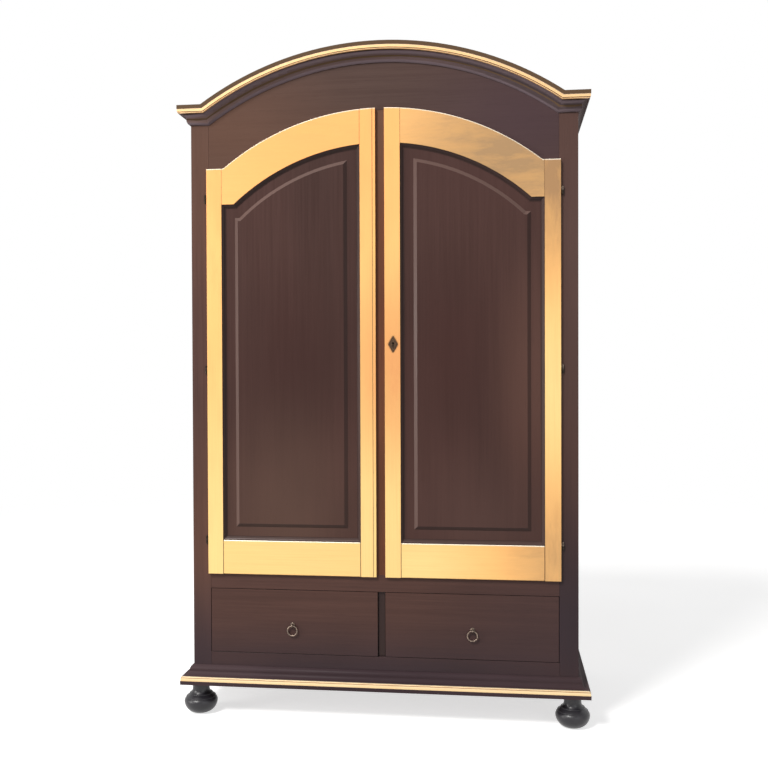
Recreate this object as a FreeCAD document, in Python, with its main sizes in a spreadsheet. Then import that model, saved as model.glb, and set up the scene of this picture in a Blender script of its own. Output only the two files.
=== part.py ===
"""A two-door wardrobe with an arched cornice, two drawers and turned feet.

Millimetres. +Z is up, the front faces -Y, and the origin is the middle of the
footprint on the floor. Every size is a cell of the sheet called Sizes, and
every place below is an expression of those cells.
"""
import FreeCAD, Part
import Sketcher
import math
import os
import re

doc = FreeCAD.newDocument("Wardrobe")

# Driving dimensions
SIZES = {
    # the case
    "case_width": 1200.0,
    "case_depth": 565.0,
    "case_height": 1816.0,
    "arch_rise": 173.0,
    "arch_flat": 41.5,
    "foot_height": 97.5,
    "foot_radius": 52.0,
    "foot_dowel_radius": 12.0,
    "foot_dowel_length": 16.0,
    "dowel_clearance": 0.25,
    "base_board_thickness": 24.0,
    "side_thickness": 20.0,
    "roof_thickness": 20.0,
    "back_thickness": 8.0,
    "partition_thickness": 20.0,
    "deck_thickness": 20.0,
    # the face frame
    "face_thickness": 22.0,
    "stile_width": 57.0,
    "bottom_rail_height": 74.5,
    "drawer_opening_height": 202.0,
    "mid_rail_height": 52.5,
    "frieze_height": 202.0,
    "pediment_drop": 10.0,
    "centre_gap": 28.0,
    "post_setback": 1.0,
    "divider_setback": 8.0,
    # the cornice and base moulding
    "moulding_overhang": 35.0,
    "moulding_height": 58.0,
    "moulding_strip": 11.5,
    "moulding_gilt": 13.5,
    "moulding_cove": 13.0,
    "moulding_fillet": 4.0,
    "moulding_rebate": 13.0,
    "moulding_cove_setback": 6.0,
    "moulding_toe": 11.0,
    "gilt_setback": 1.0,
    "gilt_face": 9.0,
    "gilt_quirk": 1.1,
    "gilt_quirk_setback": 7.0,
    "gilt_bead_setback": 4.0,
    "gilt_bead_swell": 2.0,
    # the doors
    "door_lip": 5.0,
    "door_play": 1.5,
    "door_clearance": 0.5,
    "lip_thickness": 10.0,
    "groove_width": 6.5,
    "groove_depth": 8.0,
    "groove_clearance": 0.25,
    "tenon_clearance": 0.3,
    "rear_thickness": 5.5,
    "door_stile_width": 48.0,
    "door_rail_width": 107.0,
    "shoulder_drop": 112.0,
    "shoulder_sweep": 16.0,
    "scored_line_inset": 8.5,
    "scored_line_width": 1.2,
    "scored_line_depth": 0.8,
    "panel_border": 41.0,
    "panel_bevel": 11.0,
    "panel_raise": 7.0,
    # the hinges
    "hinge_offset": 5.5,
    "hinge_radius": 3.5,
    "hinge_standoff": 0.3,
    "hinge_half_height": 11.0,
    "hinge_parting": 0.15,
    "hinge_pin_radius": 1.75,
    "hinge_pin_clearance": 0.05,
    "hinge_pin_length": 9.0,
    "hinge_tip_length": 2.0,
    "hinge_tip_radius": 2.0,
    "hinge_blade_thickness": 1.4,
    "hinge_blade_inset": 1.0,
    "hinge_blade_depth": 17.0,
    "hinge_slot_clearance": 0.15,
    "hinge_foot_inset": 101.0,
    "hinge_head_inset": 88.0,
    # the lock
    "lock_rise": 713.5,
    "lock_backset": 26.0,
    "lock_case_width": 40.0,
    "lock_case_height": 64.0,
    "lock_case_thickness": 11.0,
    "lock_edge_gap": 1.0,
    "bolt_length": 24.0,
    "bolt_height": 18.0,
    "bolt_thickness": 5.0,
    "bolt_clearance": 0.3,
    "bolt_throw": 10.0,
    "bolt_wall": 2.0,
    "pocket_spare": 1.0,
    "pocket_clearance": 1.3,
    "escutcheon_half_width": 14.3,
    "escutcheon_half_height": 25.0,
    "escutcheon_thickness": 1.5,
    "keyhole_radius": 3.2,
    "keyhole_slot_width": 2.6,
    "keyhole_drop": 9.0,
    "keyhole_rise": 3.0,
    "key_bore_radius": 4.0,
    # the drawers
    "drawer_gap": 1.5,
    "drawer_inner_gap": 2.0,
    "drawer_front_thickness": 20.0,
    "drawer_rear_gap": 57.0,
    "drawer_side_thickness": 12.0,
    "drawer_side_inset": 1.0,
    "drawer_side_drop": 5.0,
    "drawer_lift": 0.3,
    "drawer_bottom_thickness": 6.0,
    "drawer_bottom_rise": 12.0,
    "drawer_groove_depth": 6.0,
    "drawer_groove_clearance": 0.25,
    "drawer_back_inset": 8.0,
    "drawer_back_drop": 12.0,
    "runner_height": 20.0,
    "runner_shelf": 27.0,
    "runner_inner_width": 26.0,
    "guide_height": 30.0,
    "guide_clearance": 1.0,
    # the ring pulls
    "ring_radius": 15.3,
    "ring_wire_radius": 2.1,
    "pull_drop": 8.0,
    "pull_offset": 3.8,
    "eye_clearance": 0.5,
    "eye_wire_radius": 1.5,
    "eye_standoff": 7.0,
    "eye_drop": 3.0,
    "rose_radius": 6.8,
    "rose_thickness": 1.2,
    "rose_rim_radius": 1.1,
    "stem_radius": 2.0,
    "stem_length": 12.0,
    "stem_clearance": 0.15,
    # the inside
    "shelf_thickness": 18.0,
    "shelf_front_setback": 40.0,
    "shelf_back_gap": 4.0,
    "shelf_end_gap": 0.5,
    "batten_size": 18.0,
    "batten_setback": 60.0,
    "rail_drop": 75.0,
    "rail_radius": 12.5,
    "rail_end_gap": 0.3,
    "socket_wall": 5.25,
    "socket_length": 14.0,
    "socket_floor": 2.0,
    "socket_clearance": 0.25,
    # cutting tools
    "overrun": 20.0,
}

sheet = doc.addObject("Spreadsheet::Sheet", "Sizes")
sheet.Label = "Sizes"
for row, (alias, size) in enumerate(SIZES.items(), start=1):
    sheet.set(f"A{row}", alias)
    sheet.set(f"B{row}", str(size))
    sheet.setAlias(f"B{row}", alias)
doc.recompute()

ALIAS = re.compile(r"\b(" + "|".join(sorted(SIZES, key=len, reverse=True)) + r")\b")


def bound(text):
    """The expression with each size name pointed at its cell."""
    return ALIAS.sub(r"<<Sizes>>.\1", str(text))


def value(text):
    """The expression's number, for where a curve starts out."""
    return float(sheet.evalExpression(bound(text)))


# Shared places
half_width = "(case_width / 2)"
face = "((moulding_overhang - case_depth) / 2)"
back = "((moulding_overhang + case_depth) / 2)"
behind_face = f"({face} + face_thickness)"
back_inside = f"({back} - back_thickness)"
floor_top = "(foot_height + base_board_thickness)"
head_top = "(foot_height + case_height)"
arch_reach = f"({half_width} - arch_flat)"
arch_radius = f"(({arch_reach} ^ 2 + arch_rise ^ 2) / (2 * arch_rise))"
arch_centre = f"({head_top} + arch_rise - {arch_radius})"
opening_radius = f"({arch_radius} - frieze_height)"
opening_shoulder = f"({head_top} - frieze_height)"
side_inside = f"({half_width} - side_thickness)"
opening_edge = f"({half_width} - stile_width)"
post_half = "(centre_gap / 2 + door_lip)"
partition_half = "(partition_thickness / 2)"
drawer_sill = f"({floor_top} + bottom_rail_height)"
drawer_head = f"({drawer_sill} + drawer_opening_height)"
deck_top = f"({drawer_head} + mid_rail_height)"
deck_under = f"({deck_top} - deck_thickness)"
roof_under = f"({head_top} - roof_thickness)"
lock_height = f"({deck_top} + lock_rise)"


def arch_z(radius, x):
    """Height of an arc about the arch's centre, at a distance from the middle."""
    return f"({arch_centre} + sqrt(({radius}) ^ 2 - ({x}) ^ 2))"


def arch_x(radius, z):
    """Distance from the middle at which such an arc comes down to a height."""
    return f"sqrt(({radius}) ^ 2 - ({z} - {arch_centre}) ^ 2)"


# Building helpers
parts = []


def keep(piece, label):
    """Take an object into the model under its own name."""
    piece.Label = label
    parts.append(piece)
    return piece


def box(name, x, y, z):
    """A board between a low and a high expression along each axis."""
    board = doc.addObject("Part::Box", name)
    for size, axis, (low, high) in (("Length", "x", x), ("Width", "y", y), ("Height", "z", z)):
        board.setExpression(size, bound(f"({high}) - ({low})"))
        board.setExpression(f"Placement.Base.{axis}", bound(low))
    return board


def cylinder(name, radius, length, base, axis):
    """A round bar from a base point along +X, +Y or +Z."""
    bar = doc.addObject("Part::Cylinder", name)
    bar.setExpression("Radius", bound(radius))
    bar.setExpression("Height", bound(length))
    turns = {
        "x": FreeCAD.Rotation(FreeCAD.Vector(0, 1, 0), 90),
        "y": FreeCAD.Rotation(FreeCAD.Vector(1, 0, 0), -90),
        "z": FreeCAD.Rotation(),
    }
    bar.Placement = FreeCAD.Placement(FreeCAD.Vector(), turns[axis])
    for letter, place in zip("xyz", base):
        bar.setExpression(f"Placement.Base.{letter}", bound(place))
    return bar


def cut(name, base, tool):
    """The base with the tool taken away."""
    piece = doc.addObject("Part::Cut", name)
    piece.Base = base
    piece.Tool = tool
    return piece


def fuse(name, pieces):
    """One solid out of pieces that touch."""
    piece = doc.addObject("Part::MultiFuse", name)
    piece.Shapes = pieces
    return piece


def group(name, pieces):
    """Separate solids in one node."""
    piece = doc.addObject("Part::Compound", name)
    piece.Links = pieces
    return piece


def mirrored(sign, low, high):
    """A span given outwards from the middle, on the left (-1) or the right (1)."""
    return (low, high) if sign > 0 else (f"-({high})", f"-({low})")


def body(name):
    return doc.addObject("PartDesign::Body", name)


def origin_feature(owner, role):
    return next(item for item in owner.Origin.OriginFeatures if item.Role == role)


def arc_through(first, via, last):
    """The arc through three points, and whether it runs clockwise."""
    middle = Part.Arc(first, via, last).toShape().Curve.Center
    clockwise = (via - first).cross(last - via).z < 0
    ends = (last, first) if clockwise else (first, last)
    low, high = (math.atan2(end.y - middle.y, end.x - middle.x) for end in ends)
    if high < low:
        high += 2 * math.pi
    circle = Part.Circle(middle, FreeCAD.Vector(0, 0, 1), (first - middle).Length)
    return Part.ArcOfCircle(circle, low, high), clockwise


def sketch(owner, plane, outline, offset="0"):
    """A closed outline on one of the body's own planes.

    Each entry after the first is an end point, or a via point and an end point
    for an arc. All of them are held by expressions.
    """
    drawing = owner.newObject("Sketcher::SketchObject", owner.Name + "_sketch")
    drawing.AttachmentSupport = [(origin_feature(owner, plane), "")]
    drawing.MapMode = "FlatFace"
    drawing.setExpression("AttachmentOffset.Base.z", bound(offset))

    def spot(pair):
        return FreeCAD.Vector(value(pair[0]), value(pair[1]), 0)

    def hold(geometry, end, pair):
        for kind, text in (("DistanceX", pair[0]), ("DistanceY", pair[1])):
            held = Sketcher.Constraint(kind, -1, 1, geometry, end, value(text))
            index = drawing.addConstraint(held)
            drawing.setExpression(f"Constraints[{index}]", bound(text))

    start = outline[0]
    entries = outline[1:] + [start]
    edges = []
    for entry in entries:
        end = entry[-2:]
        if len(entry) == 4:
            via = entry[:2]
            curve, turned = arc_through(spot(start), spot(via), spot(end))
            edges.append((drawing.addGeometry(curve, False), start, end, via, turned))
        else:
            line = Part.LineSegment(spot(start), spot(end))
            edges.append((drawing.addGeometry(line, False), start, end, None, False))
        start = end
    ends = []
    for edge, first, last, via, turned in edges:
        # a sketch arc always runs anticlockwise
        ends.append((2, 1) if turned else (1, 2))
    for number, (edge, first, last, via, turned) in enumerate(edges):
        following = (number + 1) % len(edges)
        joined = Sketcher.Constraint(
            "Coincident", edge, ends[number][1], edges[following][0], ends[following][0])
        drawing.addConstraint(joined)
        hold(edge, ends[number][0], first)
    for edge, first, last, via, turned in edges:
        if via:
            point = drawing.addGeometry(Part.Point(spot(via)), True)
            hold(point, 1, via)
            drawing.addConstraint(Sketcher.Constraint("PointOnObject", point, 1, edge))
    return drawing


def pad(owner, plane, outline, length, offset="0", backwards=False):
    """Material added from an outline, along the plane's normal or against it."""
    feature = owner.newObject("PartDesign::Pad", owner.Name + "_pad")
    feature.Profile = sketch(owner, plane, outline, offset)
    feature.setExpression("Length", bound(length))
    feature.Reversed = backwards
    return feature


def pocket(owner, plane, outline):
    """An outline cut right through, both ways from its plane."""
    feature = owner.newObject("PartDesign::Pocket", owner.Name + "_pocket")
    feature.Profile = sketch(owner, plane, outline)
    feature.Type = "ThroughAll"
    feature.Midplane = True
    return feature


def revolve(owner, plane, outline, axis, angle="360"):
    """An outline turned about one of the body's own axes, evenly to both sides."""
    feature = owner.newObject("PartDesign::Revolution", owner.Name + "_turn")
    feature.Profile = sketch(owner, plane, outline)
    feature.ReferenceAxis = (origin_feature(owner, axis), [""])
    feature.setExpression("Angle", bound(angle))
    feature.Midplane = True
    return feature


def layer(owner, outline, low, high):
    """A slab of an upright board, between two depths behind the face plane.

    The front plane's normal is -Y, so an offset along it is a negative depth.
    """
    pad(owner, "XZ_Plane", outline, f"({high}) - ({low})", f"-({high})")


# Feet

# (share of the foot's radius, share of its height), with a via point first for an arc
FOOT_SHARES = [
    (0.42, 0.0),
    (0.83, 0.13, 1.0, 0.345),
    (0.975, 0.43, 0.885, 0.495),
    (0.895, 0.508, 0.85, 0.52),
    (0.765, 0.56, 0.69, 0.59),
    (0.705, 0.605, 0.655, 0.618),
    (0.555, 0.68, 0.505, 0.77),
    (0.505, 0.923),
    (0.525, 0.970, 0.596, 1.0),
]


def foot_outline():
    outline = [("0", "0")]
    for shares in FOOT_SHARES:
        outline.append(tuple(
            f"foot_radius * {share}" if place % 2 == 0 else f"foot_height * {share}"
            for place, share in enumerate(shares)))
    outline.append(("foot_dowel_radius", "foot_height"))
    outline.append(("foot_dowel_radius", "foot_height + foot_dowel_length"))
    outline.append(("0", "foot_height + foot_dowel_length"))
    return outline


foot_x = f"({half_width} + moulding_overhang - foot_radius)"
foot_front_y = f"({face} - moulding_overhang + foot_radius)"
foot_rear_y = f"({back} - foot_radius)"
dowel_holes = []
for end, y in (("front", foot_front_y), ("rear", foot_rear_y)):
    for side, sign in (("left", -1), ("right", 1)):
        foot = body(f"foot_{end}_{side}")
        revolve(foot, "XZ_Plane", foot_outline(), "Z_Axis")
        foot.setExpression("Placement.Base.x", bound(f"{sign} * {foot_x}"))
        foot.setExpression("Placement.Base.y", bound(y))
        keep(foot, f"foot_{end}_{side}")
        dowel_holes.append(cylinder(
            f"dowel_hole_{end}_{side}", "foot_dowel_radius + dowel_clearance",
            "foot_dowel_length + dowel_clearance + overrun",
            (f"{sign} * {foot_x}", y, "foot_height - overrun"), "z"))

# Case boards
across = (f"-{half_width}", half_width)
between_sides = (f"-{side_inside}", side_inside)
between_stiles = (f"-{opening_edge}", opening_edge)
in_frame = (face, behind_face)
inside_depth = (behind_face, back_inside)

base_blank = box("base_board_blank", across, (face, back), ("foot_height", floor_top))
keep(cut("base_board", base_blank, group("dowel_holes", dowel_holes)), "base_board")
for side, sign in (("left", -1), ("right", 1)):
    span = mirrored(sign, side_inside, half_width)
    keep(box(f"side_{side}", span, (behind_face, back), (floor_top, roof_under)), f"side_{side}")
keep(box("roof_board", across, (behind_face, back), (roof_under, head_top)), "roof_board")
keep(box("back_panel", between_sides, (back_inside, back), (floor_top, roof_under)), "back_panel")
keep(box("deck_board", between_sides, inside_depth, (deck_under, deck_top)), "deck_board")
keep(box("mid_rail", between_stiles, in_frame, (drawer_head, deck_top)), "mid_rail")
keep(box("bottom_rail", between_stiles, in_frame, (floor_top, drawer_sill)), "bottom_rail")
keep(box("centre_partition", (f"-{partition_half}", partition_half), inside_depth,
         (deck_top, roof_under)), "centre_partition")

# The drawer partition steps forward between the two rails, where its edge shows
divider_front = f"{face} + divider_setback"
drawer_partition = body("drawer_partition")
pad(drawer_partition, "YZ_Plane", [
    (divider_front, drawer_sill),
    (behind_face, drawer_sill),
    (behind_face, floor_top),
    (back_inside, floor_top),
    (back_inside, deck_under),
    (behind_face, deck_under),
    (behind_face, drawer_head),
    (divider_front, drawer_head),
], "partition_thickness", f"-{partition_half}")
keep(drawer_partition, "drawer_partition")

# Frieze: arched below over the doors, and arched above behind the cornice
frieze_radius = f"({arch_radius} - pediment_drop)"
frieze_end = arch_z(frieze_radius, opening_edge)
opening_bend = arch_x(opening_radius, opening_shoulder)
frieze = body("frieze_board")
layer(frieze, [
    (f"-{opening_edge}", opening_shoulder),
    (f"-{opening_bend}", opening_shoulder),
    ("0", arch_z(opening_radius, "0"), opening_bend, opening_shoulder),
    (opening_edge, opening_shoulder),
    (opening_edge, frieze_end),
    ("0", arch_z(frieze_radius, "0"), f"-{opening_edge}", frieze_end),
], face, behind_face)
keep(frieze, "frieze_board")

# Centre post, which both doors close against, with a pocket for the bolt
lock_y = f"({face} - door_clearance + groove_width + rear_thickness)"
bolt_low_y = f"({lock_y} + bolt_wall)"


def bolt_space(clearance):
    """The bolt's depths and heights with a clearance all round."""
    return ((f"{bolt_low_y} - {clearance}", f"{bolt_low_y} + bolt_thickness + {clearance}"),
            (f"{lock_height} - bolt_height / 2 - {clearance}",
             f"{lock_height} + bolt_height / 2 + {clearance}"))


post_blank = body("centre_post_blank")
post_top = arch_z(opening_radius, post_half)
layer(post_blank, [
    (f"-{post_half}", deck_top),
    (post_half, deck_top),
    (post_half, post_top),
    ("0", arch_z(opening_radius, "0"), f"-{post_half}", post_top),
], f"{face} + post_setback", behind_face)
closing_edge = f"({post_half} + door_play)"
bolt_rest = f"({closing_edge} + lock_edge_gap)"
bolt_pocket = box("bolt_pocket", (f"{bolt_rest} - bolt_throw - pocket_spare", f"{post_half} + overrun"),
                  *bolt_space("pocket_clearance"))
keep(cut("centre_post", post_blank, bolt_pocket), "centre_post")

# Hinges
hinge_x = f"({opening_edge} + door_lip + hinge_offset)"
hinge_y = f"({face} - hinge_standoff - hinge_radius)"
blade_half = "(hinge_blade_thickness / 2)"
slot_half = f"({blade_half} + hinge_slot_clearance)"
blade_high = "(hinge_half_height - hinge_blade_inset)"
hinge_low = f"({deck_top} + hinge_foot_inset)"
hinge_high = f"({opening_shoulder} - hinge_head_inset)"
hinge_heights = [hinge_low, f"(({hinge_low} + {hinge_high}) / 2)", hinge_high]


def barrel(name, sign, z, half):
    """Half of a hinge barrel with its rounded tip: 1 the door's upper half, -1 the lower."""
    low = f"{z} + hinge_parting" if half > 0 else f"{z} - hinge_half_height"
    high = f"{z} + hinge_half_height" if half > 0 else f"{z} - hinge_parting"
    axis = (f"{sign} * {hinge_x}", hinge_y)
    tube = cylinder(f"{name}_tube", "hinge_radius", f"({high}) - ({low})", (*axis, low), "z")
    tip = doc.addObject("Part::Cone", f"{name}_tip")
    tip.setExpression("Height", bound("hinge_tip_length"))
    tip.setExpression("Radius1", bound("hinge_radius" if half > 0 else "hinge_tip_radius"))
    tip.setExpression("Radius2", bound("hinge_tip_radius" if half > 0 else "hinge_radius"))
    tip_z = f"{z} + hinge_half_height" if half > 0 else f"{z} - hinge_half_height - hinge_tip_length"
    for letter, place in zip("xyz", (*axis, tip_z)):
        tip.setExpression(f"Placement.Base.{letter}", bound(place))
    return [tube, tip]


case_leaves = []
door_leaves = {-1: [], 1: []}
case_slots = {-1: [], 1: []}
door_slots = {-1: [], 1: []}
for sign, side in ((-1, "left"), (1, "right")):
    for number, z in enumerate(hinge_heights, start=1):
        name = f"{side}_hinge_{number}"
        axis = (f"{sign} * {hinge_x}", hinge_y)
        # the case half: lower barrel, pin, and a blade let straight back into the stile
        blade_x = (f"{sign} * {hinge_x} - {blade_half}", f"{sign} * {hinge_x} + {blade_half}")
        blade_z = (f"{z} - {blade_high}", f"{z} - hinge_parting - hinge_blade_inset")
        blade = box(f"{name}_case_blade", blade_x, (hinge_y, f"{face} + hinge_blade_depth"), blade_z)
        pin = cylinder(f"{name}_pin", "hinge_pin_radius", "hinge_pin_length + hinge_half_height / 2",
                       (*axis, f"{z} - hinge_half_height / 2"), "z")
        case_leaves.append(fuse(f"{name}_case_leaf", barrel(f"{name}_case", sign, z, -1) + [blade, pin]))
        slot_x = (f"{sign} * {hinge_x} - {slot_half}", f"{sign} * {hinge_x} + {slot_half}")
        slot_z = (f"{z} - {blade_high} - hinge_slot_clearance",
                  f"{z} - hinge_parting - hinge_blade_inset + hinge_slot_clearance")
        case_slots[sign].append(box(
            f"{name}_case_slot", slot_x,
            (f"{face} - overrun", f"{face} + hinge_blade_depth + hinge_slot_clearance"), slot_z))
        # the door half: upper barrel bored for the pin, and a blade let into the lip
        door_edge = f"({opening_edge} + door_lip)"
        blade_x = mirrored(sign, f"{door_edge} - hinge_blade_depth", hinge_x)
        blade_y = (f"{hinge_y} - {blade_half}", f"{hinge_y} + {blade_half}")
        blade_z = (f"{z} + hinge_parting + hinge_blade_inset", f"{z} + {blade_high}")
        blade = box(f"{name}_door_blade", blade_x, blade_y, blade_z)
        solid = fuse(f"{name}_door_blank", barrel(f"{name}_door", sign, z, 1) + [blade])
        bore = cylinder(f"{name}_bore", "hinge_pin_radius + hinge_pin_clearance",
                        "hinge_pin_length + hinge_pin_clearance + hinge_half_height",
                        (*axis, f"{z} - hinge_half_height"), "z")
        door_leaves[sign].append(cut(f"{name}_door_leaf", solid, bore))
        slot_x = mirrored(sign, f"{door_edge} - hinge_blade_depth - hinge_slot_clearance",
                          f"{door_edge} + overrun")
        slot_y = (f"{hinge_y} - {slot_half}", f"{hinge_y} + {slot_half}")
        slot_z = (f"{z} + hinge_parting + hinge_blade_inset - hinge_slot_clearance",
                  f"{z} + {blade_high} + hinge_slot_clearance")
        door_slots[sign].append(box(f"{name}_door_slot", slot_x, slot_y, slot_z))

keep(group("case_hinge_leaves", case_leaves), "case_hinge_leaves")

# Case stiles, slotted for the hinge blades
for side, sign in (("left", -1), ("right", 1)):
    blank = box(f"stile_{side}_blank", mirrored(sign, opening_edge, half_width), in_frame,
                (floor_top, head_top))
    slots = group(f"stile_{side}_slots", case_slots[sign])
    keep(cut(f"stile_{side}", blank, slots), f"stile_{side}")

# Cornice and base moulding

# via points, as shares of each curve's spread outwards and down
COVE_VIA_SHARES = (0.37, 0.25)
TOE_VIA_SHARES = (0.73, 0.61)
# the gilt bead's flats, as shares of its height and of its swell
BEAD_SHARES = [(0.0, 0.0), (0.17, 0.66), (0.33, 0.92), (0.67, 0.92), (0.83, 0.66), (1.0, 0.0)]

gilt_top = "moulding_strip"
seat_out = "(moulding_overhang - moulding_rebate)"
cove_out = "(moulding_overhang - moulding_cove_setback)"
gilt_out = "(moulding_overhang - gilt_setback)"
bead_out = "(moulding_overhang - gilt_bead_setback)"
gilt_foot = "(moulding_strip + moulding_gilt)"
cove_foot = f"({gilt_foot} + moulding_cove)"
fillet_foot = f"({cove_foot} + moulding_fillet)"
quirk_top = "(moulding_strip + gilt_face)"
quirk_out = "(moulding_overhang - gilt_quirk_setback)"
bead_top = f"({quirk_top} + gilt_quirk)"

# Profiles as points outwards from the case and down from the top edge
UPPER_LINE = [
    ("0", "0"),
    ("moulding_overhang", "0"),
    ("moulding_overhang", gilt_top),
]
REBATE_LINE = [
    (seat_out, gilt_top),
    (seat_out, gilt_foot),
]
STRIP_LINE = [
    (gilt_out, gilt_top),
    (gilt_out, quirk_top),
    (quirk_out, quirk_top),
    (quirk_out, bead_top),
    *[(f"{bead_out} + gilt_bead_swell * {swell}", f"{bead_top} + ({gilt_foot} - {bead_top}) * {height}")
      for height, swell in BEAD_SHARES],
]
LOWER_LINE = [
    (cove_out, gilt_foot),
    (f"moulding_toe + ({cove_out} - moulding_toe) * {COVE_VIA_SHARES[0]}",
     f"{gilt_foot} + moulding_cove * {COVE_VIA_SHARES[1]}",
     "moulding_toe", cove_foot),
    ("moulding_toe", fillet_foot),
    (f"moulding_toe * {TOE_VIA_SHARES[0]}",
     f"{fillet_foot} + (moulding_height - {fillet_foot}) * {TOE_VIA_SHARES[1]}",
     "0", "moulding_height"),
]
# the front lengths are rebated for a gilt strip, the returns are worked to the same outline in one
WOOD_PROFILE = UPPER_LINE + REBATE_LINE + LOWER_LINE
GILT_PROFILE = [REBATE_LINE[0], *STRIP_LINE, REBATE_LINE[1]]
RETURN_PROFILE = UPPER_LINE + STRIP_LINE + LOWER_LINE

mitre_out = arch_reach
mitre_in = arch_x(f"({arch_radius} - moulding_height)", f"({head_top} - moulding_height)")
arch_sweep = f"2 * asin({mitre_out} / ({arch_radius} - moulding_height))"


def placed(profile, across_text, up_text):
    """The profile moved to its place: each text says where out and down go."""
    outline = []
    for entry in profile:
        point = []
        for number in range(0, len(entry), 2):
            out, down = entry[number], entry[number + 1]
            point += [across_text.format(out=out), up_text.format(down=down)]
        outline.append(tuple(point))
    return outline


def plan_mitre(owner, sign, ahead):
    """Cut the 45 degree mitre at a front corner, off a front run or off a return."""
    out = f"{sign} * ({half_width} + moulding_overhang + overrun)"
    corner = f"{sign} * ({half_width} - overrun)"
    front_y = f"{face} - moulding_overhang - overrun"
    rear_y = f"{face} + overrun"
    if ahead:
        pocket(owner, "XY_Plane", [(corner, rear_y), (out, front_y), (out, rear_y)])
    else:
        pocket(owner, "XY_Plane", [(corner, rear_y), (out, front_y), (corner, front_y)])


def arch_mitre(owner, sign, inner, lift):
    """Cut at the bend between the arch and a flat end, keeping the inner or the outer side."""
    slope = f"({mitre_out} - {mitre_in})"
    low = (f"{sign} * ({mitre_in} - {slope})", f"{head_top} - 2 * moulding_height - {lift}")
    high = (f"{sign} * ({mitre_out} + {slope})", f"{head_top} + moulding_height - {lift}")
    far = f"{sign} * ({half_width} + moulding_overhang + overrun)" if inner else "0"
    pocket(owner, "XZ_Plane", [low, high, (far, high[1]), (far, low[1])])


def front_run(name, profile, up_text, low, high):
    """A straight length along the front, with its profile in the upright plane."""
    piece = body(name)
    outline = placed(profile, f"{face} - ({{out}})", up_text)
    pad(piece, "YZ_Plane", outline, f"({high}) - ({low})", low)
    return piece


def return_run(name, up_text, sign):
    """A straight length along one side, mitred at the front and square at the back."""
    piece = body(name)
    outline = placed(RETURN_PROFILE, f"{sign} * ({half_width} + {{out}})", up_text)
    pad(piece, "XZ_Plane", outline, f"({back}) - ({face} - moulding_overhang)", f"-({back})")
    plan_mitre(piece, sign, False)
    return piece


cornice_up = f"{head_top} - ({{down}})"
base_up = "foot_height + ({down})"
wide = f"({half_width} + moulding_overhang)"


def arch_run(name, profile):
    """The arched length, turned about the arch's own centre and mitred at both bends."""
    piece = body(name)
    outline = placed(profile, f"{face} - ({{out}})", f"{arch_radius} - ({{down}})")
    revolve(piece, "YZ_Plane", outline, "Y_Axis", arch_sweep)
    for sign in (-1, 1):
        arch_mitre(piece, sign, True, arch_centre)
    piece.setExpression("Placement.Base.z", bound(arch_centre))
    return piece


def flat_run(name, profile, sign):
    """A short flat end, mitred to the return and to the arch."""
    low, high = mirrored(sign, f"{mitre_in} - overrun", wide)
    piece = front_run(name, profile, cornice_up, low, high)
    plan_mitre(piece, sign, True)
    arch_mitre(piece, sign, False, "0")
    return piece


def base_run(name, profile):
    piece = front_run(name, profile, base_up, f"-{wide}", wide)
    for sign in (-1, 1):
        plan_mitre(piece, sign, True)
    return piece


keep(arch_run("cornice_arch", WOOD_PROFILE), "cornice_arch")
keep(group("cornice_flats", [
    flat_run("cornice_flat_left", WOOD_PROFILE, -1),
    flat_run("cornice_flat_right", WOOD_PROFILE, 1)]), "cornice_flats")
keep(return_run("cornice_return_left", cornice_up, -1), "cornice_return_left")
keep(return_run("cornice_return_right", cornice_up, 1), "cornice_return_right")
keep(group("cornice_gilt_strip", [
    arch_run("gilt_arch", GILT_PROFILE),
    flat_run("gilt_flat_left", GILT_PROFILE, -1),
    flat_run("gilt_flat_right", GILT_PROFILE, 1)]), "cornice_gilt_strip")
keep(base_run("base_moulding_front", WOOD_PROFILE), "base_moulding_front")
keep(return_run("base_moulding_left", base_up, -1), "base_moulding_left")
keep(return_run("base_moulding_right", base_up, 1), "base_moulding_right")
keep(base_run("base_gilt_strip", GILT_PROFILE), "base_gilt_strip")

# Doors: framed and panelled, with a lip that laps over the case
lip_back = f"({face} - door_clearance)"
lip_front = f"({lip_back} - lip_thickness)"
groove_back = f"({lip_back} + groove_width)"
door_back = f"({groove_back} + rear_thickness)"
door_outer = f"({opening_edge} + door_lip)"
door_inner = "(centre_gap / 2)"
stile_inner = f"({door_outer} - door_stile_width)"
closing_inner = f"({door_inner} + door_stile_width)"
lip_bottom = f"({deck_top} - door_lip)"
rail_top = f"({lip_bottom} + door_rail_width)"
lip_radius = f"({opening_radius} + door_lip)"
lip_shoulder = f"({opening_shoulder} + door_lip)"
rail_radius = f"({lip_radius} - door_rail_width)"
rail_shoulder = f"({lip_shoulder} - shoulder_drop)"
rear_outer = f"({opening_edge} - door_play)"
rear_inner = closing_edge
rear_bottom = f"({deck_top} + door_play)"
rear_radius = f"({opening_radius} - door_play)"
rear_shoulder = f"({opening_shoulder} - door_play)"
tenon = "(groove_depth - tenon_clearance)"


def arched(sign, inner, outer, bottom, radius, shoulder, square=False):
    """An outline with a level foot, upright sides and a head that arches up from a shoulder.

    A square head is for a piece that ends at the shoulder.
    """
    if square:
        return [(f"{sign} * {inner}", bottom), (f"{sign} * {outer}", bottom),
                (f"{sign} * {outer}", shoulder), (f"{sign} * {inner}", shoulder)]
    bend = arch_x(radius, shoulder)
    middle = f"(({bend} + {inner}) / 2)"
    return [
        (f"{sign} * {inner}", bottom),
        (f"{sign} * {outer}", bottom),
        (f"{sign} * {outer}", shoulder),
        (f"{sign} * {bend}", shoulder),
        (f"{sign} * {middle}", arch_z(radius, middle), f"{sign} * {inner}", arch_z(radius, inner)),
    ]


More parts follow.
